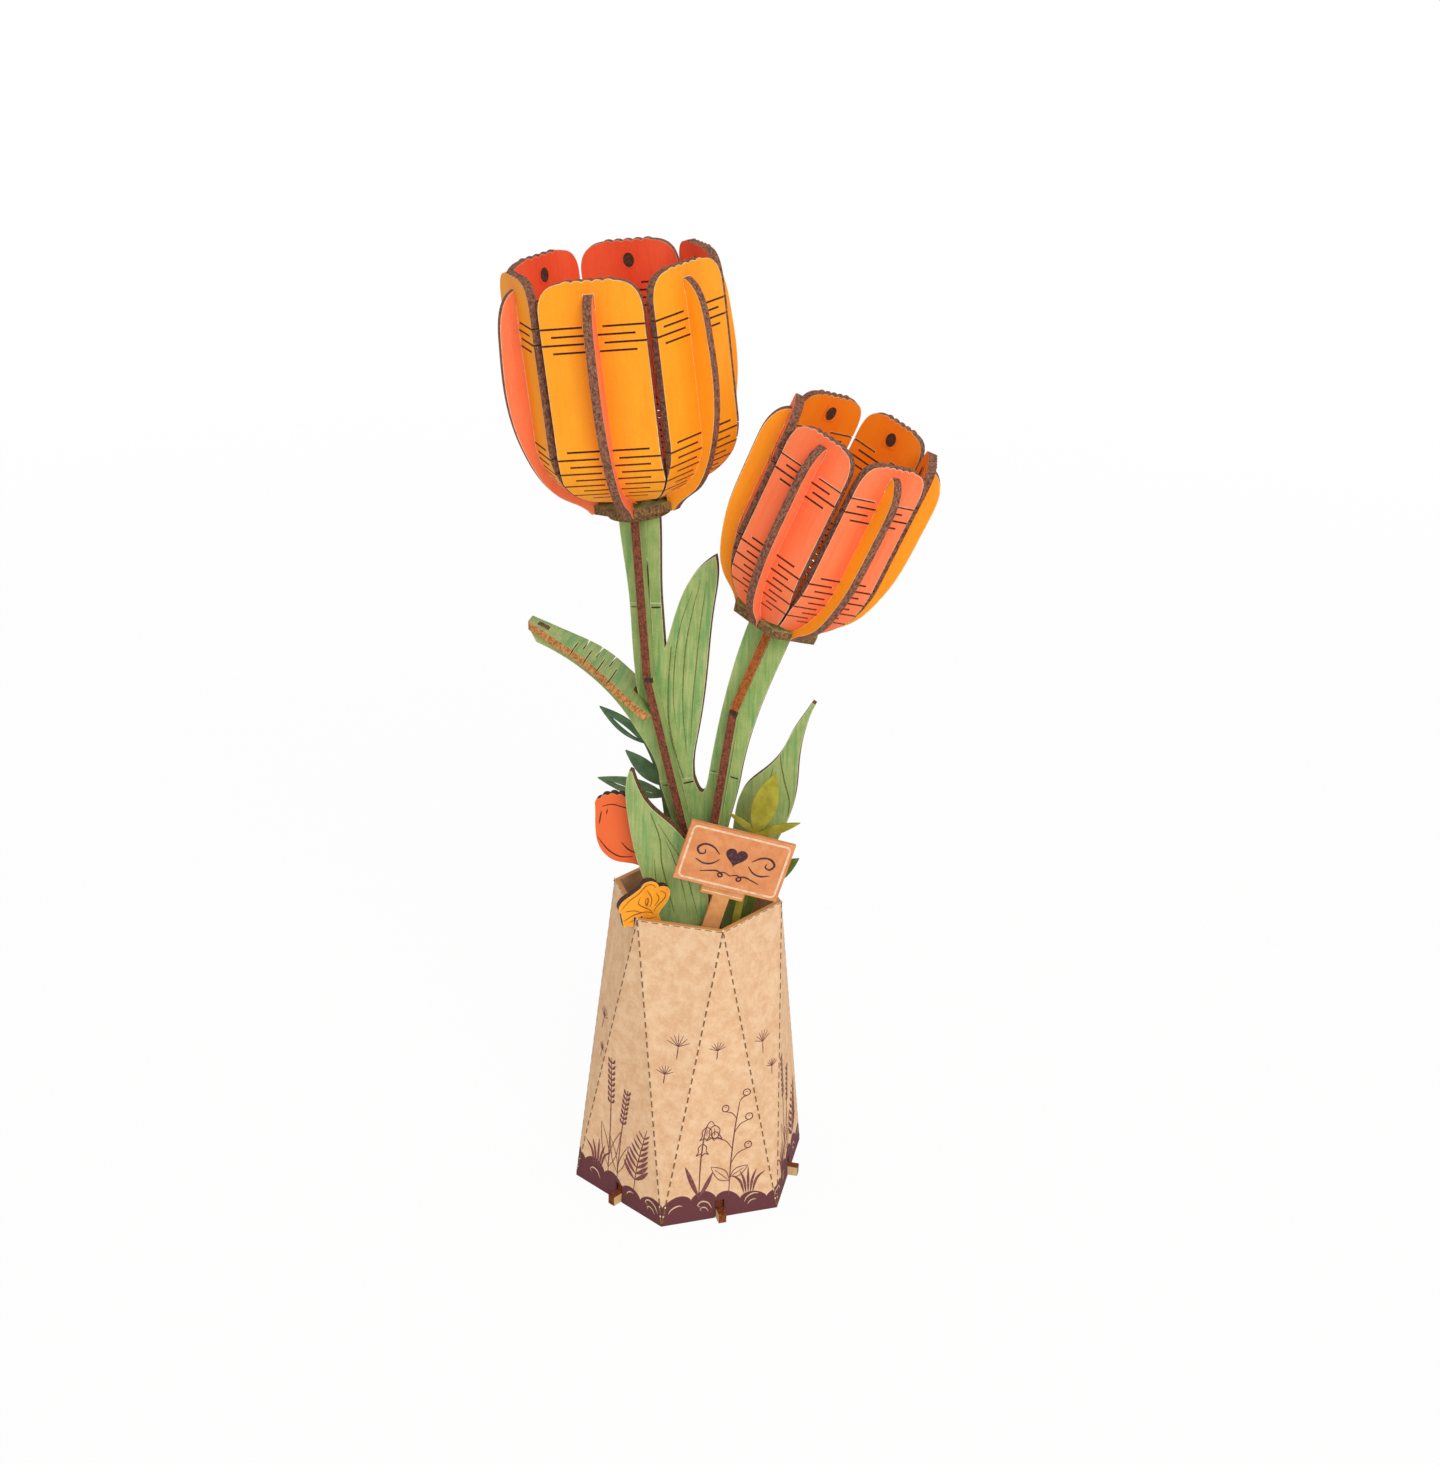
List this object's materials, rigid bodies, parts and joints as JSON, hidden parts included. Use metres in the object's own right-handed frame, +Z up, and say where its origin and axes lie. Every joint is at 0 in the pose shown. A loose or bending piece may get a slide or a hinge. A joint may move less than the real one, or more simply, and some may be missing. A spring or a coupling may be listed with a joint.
{
  "type": "wooden tulips ornament",
  "caption": "Slotted plywood tulips with leaves, card sprigs, a small sign and a winged rim piece, standing in a folded card vase as a table ornament.",
  "frame": {"origin": "on the table, under the middle of the vase's foot", "axes": "+Z up, the front with the sign faces -Y, +X to the right seen from the front"},
  "size_m": [0.0908, 0.0552, 0.2144],
  "materials": {
    "yellow_petal_ply": "stained birch plywood, yellow-orange outside and red-orange inside, laser-burnt edges",
    "coral_petal_ply": "stained birch plywood, coral outside and orange inside, laser-burnt edges",
    "two_tone_rib_ply": "stained birch plywood, one side coral and the other yellow-orange, laser-burnt edges",
    "green_ply": "green-stained birch plywood with visible grain, laser-burnt edges",
    "bare_ply": "bare birch plywood, laser-burnt edges",
    "coral_bud_ply": "stained birch plywood, laser-burnt edges",
    "yellow_flutter_ply": "stained birch plywood, laser-burnt edges",
    "dark_green_card": "printed card, matt",
    "olive_card": "printed card, matt",
    "sign_card": "kraft board, matt",
    "kraft_card": "kraft card, matt, with a printed band"
  },
  "bodies": {
    "ornament": {"bud": "coral_bud_ply", "deck": "bare_ply", "draped_leaf": "green_ply", "front_leaf": "green_ply", "large_cap": "green_ply", "large_collar": "green_ply", "large_lower_spine": "green_ply", "large_middle_plank": "green_ply", "large_petal_1": "yellow_petal_ply", "large_petal_2": "yellow_petal_ply", "large_petal_3": "yellow_petal_ply", "large_petal_4": "yellow_petal_ply", "large_petal_5": "yellow_petal_ply", "large_petal_6": "yellow_petal_ply", "large_rib_1": "two_tone_rib_ply", "large_rib_2": "two_tone_rib_ply", "large_rib_3": "two_tone_rib_ply", "large_rib_4": "two_tone_rib_ply", "large_rib_5": "two_tone_rib_ply", "large_rib_6": "two_tone_rib_ply", "large_top_plank": "green_ply", "large_upper_spine": "green_ply", "low_board": "bare_ply", "low_sprig": "olive_card", "middle_board": "bare_ply", "right_leaf": "green_ply", "root_plank": "green_ply", "small_collar": "green_ply", "small_lower_spine": "green_ply", "small_petal_1": "coral_petal_ply", "small_petal_2": "coral_petal_ply", "small_petal_3": "coral_petal_ply", "small_petal_4": "coral_petal_ply", "small_petal_5": "coral_petal_ply", "small_petal_6": "coral_petal_ply", "small_rib_1": "two_tone_rib_ply", "small_rib_2": "two_tone_rib_ply", "small_rib_3": "two_tone_rib_ply", "small_rib_4": "two_tone_rib_ply", "small_rib_5": "two_tone_rib_ply", "small_rib_6": "two_tone_rib_ply", "small_top_plank": "green_ply", "small_upper_spine": "green_ply", "sprig": "olive_card", "twig": "dark_green_card", "vase_sleeve": "kraft_card"},
    "sign": {"sign_board": "sign_card", "sign_stake": "sign_card"},
    "flutter_piece": {"flutter": "yellow_flutter_ply"}
  },
  "joints": [
    {"name": "sign_pull", "type": "slide", "parent": "ornament", "child": "sign", "axis": [0.2565, 0.075, 0.9636], "range_m": [0, 0.03]},
    {"name": "flutter_lift", "type": "slide", "parent": "ornament", "child": "flutter_piece", "axis": [0, 0, 1], "range_m": [0, 0.008]}
  ]
}
